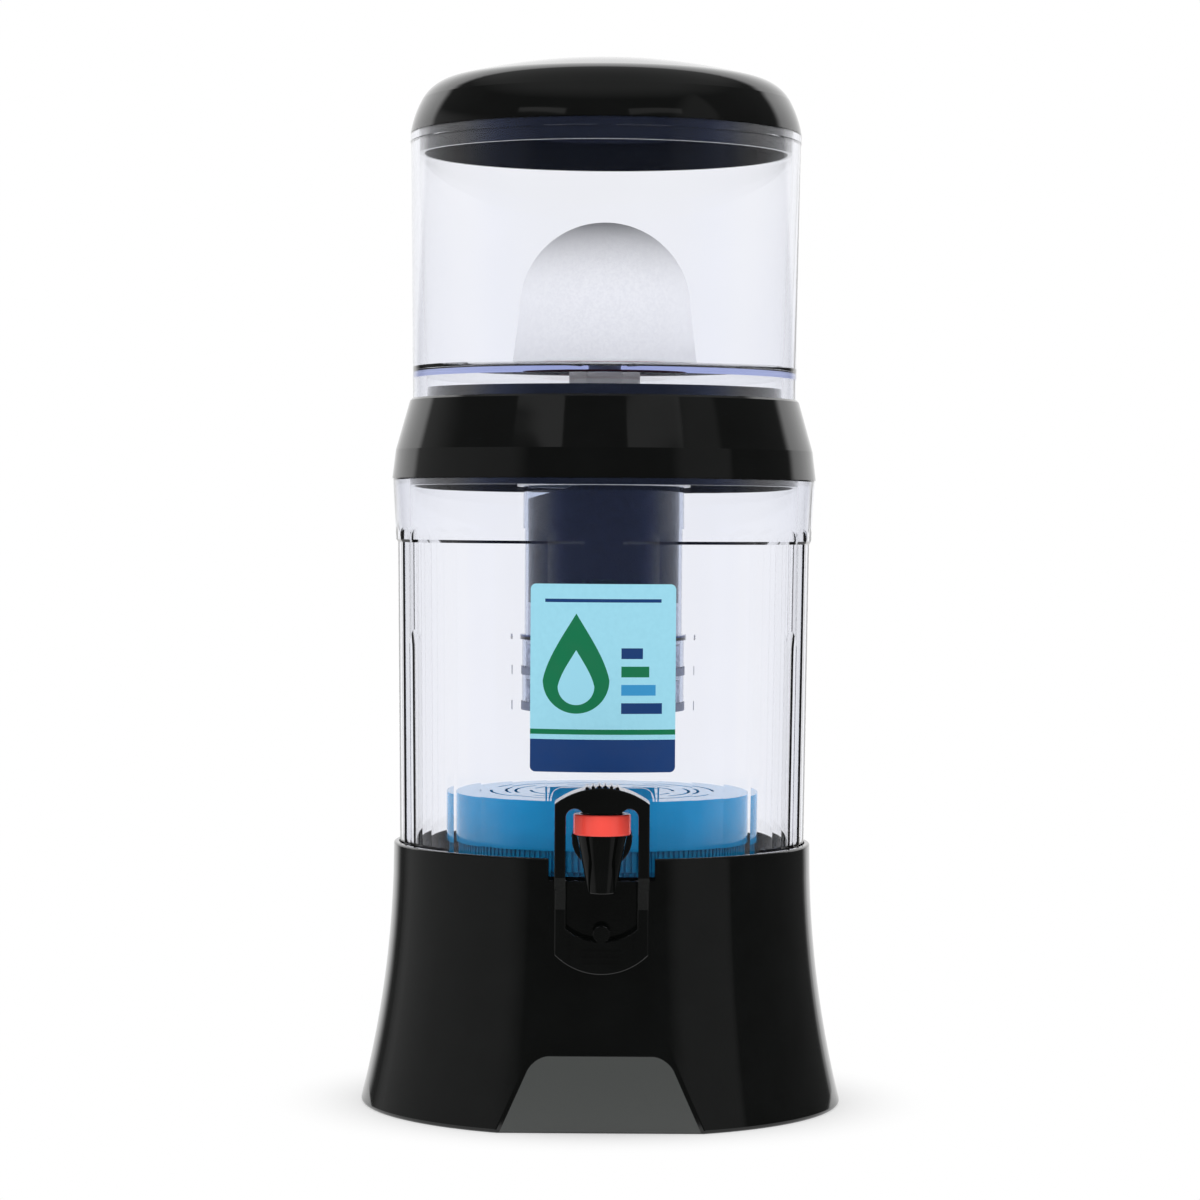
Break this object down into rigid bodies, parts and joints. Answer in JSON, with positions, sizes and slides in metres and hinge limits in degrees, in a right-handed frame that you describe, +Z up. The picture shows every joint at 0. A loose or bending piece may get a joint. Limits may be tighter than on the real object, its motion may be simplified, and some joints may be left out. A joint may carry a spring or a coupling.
{
  "type": "gravity water filter",
  "caption": "Table-top gravity water filter: clear tank with ceramic dome over a hanging cartridge, clear lower tank with stone tray and push-lever tap, on a flared base.",
  "frame": {"origin": "centre of the object's box at the surface that the base stands on", "axes": "+Z up along the tanks, the tap faces -Y, +X to the right of someone who faces the tap"},
  "size_m": [0.2342, 0.2656, 0.5084],
  "materials": {
    "gloss_black_plastic": "high gloss",
    "clear_tank_plastic": "clear, faint lilac tint",
    "clear_cartridge_plastic": "clear, faint blue tint",
    "printed_label": "satin print",
    "white_ceramic": "matt, porous",
    "white_plastic": "satin",
    "pink_rubber": "matt",
    "grey_rubber": "matt",
    "black_rubber": "matt",
    "carbon_granules": "granular",
    "silica_sand": "granular",
    "white_felt": "fibrous",
    "zeolite_granules": "granular",
    "mineral_granules": "granular",
    "blue_plastic": "gloss",
    "dark_blue_plastic": "gloss",
    "mixed_stone": "rounded, rough",
    "red_plastic": "gloss",
    "steel": "wire drawn"
  },
  "bodies": {
    "base": {"base_shell": "gloss_black_plastic"},
    "lower_tank": {"lower_tank": "clear_tank_plastic", "front_label": "printed_label", "tap_body": "gloss_black_plastic", "tap_outer_gasket": "black_rubber", "tap_inner_gasket": "black_rubber", "tap_nut": "gloss_black_plastic", "tap_ring": "red_plastic", "tap_bonnet": "gloss_black_plastic", "tap_bonnet_seal": "black_rubber", "tap_stem_oring": "black_rubber", "tap_pivot_pin": "steel"},
    "lever": {"tap_lever": "gloss_black_plastic"},
    "valve_stem": {"tap_stem": "white_plastic", "tap_valve_plug": "black_rubber", "tap_spring": "steel"},
    "stone_tray": {"stone_tray": "blue_plastic", "stone_tray_foot": "dark_blue_plastic", "mineral_stones": "mixed_stone"},
    "tray_lid": {"stone_tray_lid": "blue_plastic"},
    "collar": {"collar": "gloss_black_plastic"},
    "upper_tank": {"upper_tank": "clear_tank_plastic", "ceramic_dome": "white_ceramic", "dome_base": "white_plastic", "dome_seal": "pink_rubber", "dome_nut": "white_plastic", "cartridge_cap": "white_plastic", "cartridge_housing": "clear_cartridge_plastic", "carbon_bed": "carbon_granules", "sand_bed": "silica_sand", "felt_pads": "white_felt", "zeolite_cup": "clear_cartridge_plastic", "zeolite_bed": "zeolite_granules", "end_cup": "clear_cartridge_plastic", "mineral_bed": "mineral_granules", "cup_seals": "grey_rubber"},
    "lid": {"lid": "gloss_black_plastic"}
  },
  "joints": [
    {"name": "lower_tank_lift", "type": "slide", "parent": "base", "child": "lower_tank", "axis": [0, 0, 1], "range_m": [0, 0.05]},
    {"name": "collar_lift", "type": "slide", "parent": "lower_tank", "child": "collar", "axis": [0, 0, 1], "range_m": [0, 0.03]},
    {"name": "upper_tank_lift", "type": "slide", "parent": "collar", "child": "upper_tank", "axis": [0, 0, 1], "range_m": [0, 0.2]},
    {"name": "lid_lift", "type": "slide", "parent": "upper_tank", "child": "lid", "axis": [0, 0, 1], "range_m": [0, 0.05]},
    {"name": "stone_tray_lift", "type": "slide", "parent": "lower_tank", "child": "stone_tray", "axis": [0, 0, 1], "range_m": [0, 0.025]},
    {"name": "tray_lid_lift", "type": "slide", "parent": "stone_tray", "child": "tray_lid", "axis": [0, 0, 1], "range_m": [0, 0.012]},
    {"name": "lever_push", "type": "hinge", "parent": "lower_tank", "child": "lever", "pos_m": [0, -0.12774, 0.1568], "axis": [1, 0, 0], "range_deg": [0, 10], "stiffness_Nm_per_rad": 0.5, "springref_deg": -5.73},
    {"name": "stem_lift", "type": "slide", "parent": "lower_tank", "child": "valve_stem", "axis": [0, 0, 1], "range_m": [0, 0.0018], "deforming": ["tap_spring"]}
  ],
  "couplings": [
    {"joint": "stem_lift", "follows": "lever_push", "m_per_rad": 0.0095}
  ]
}
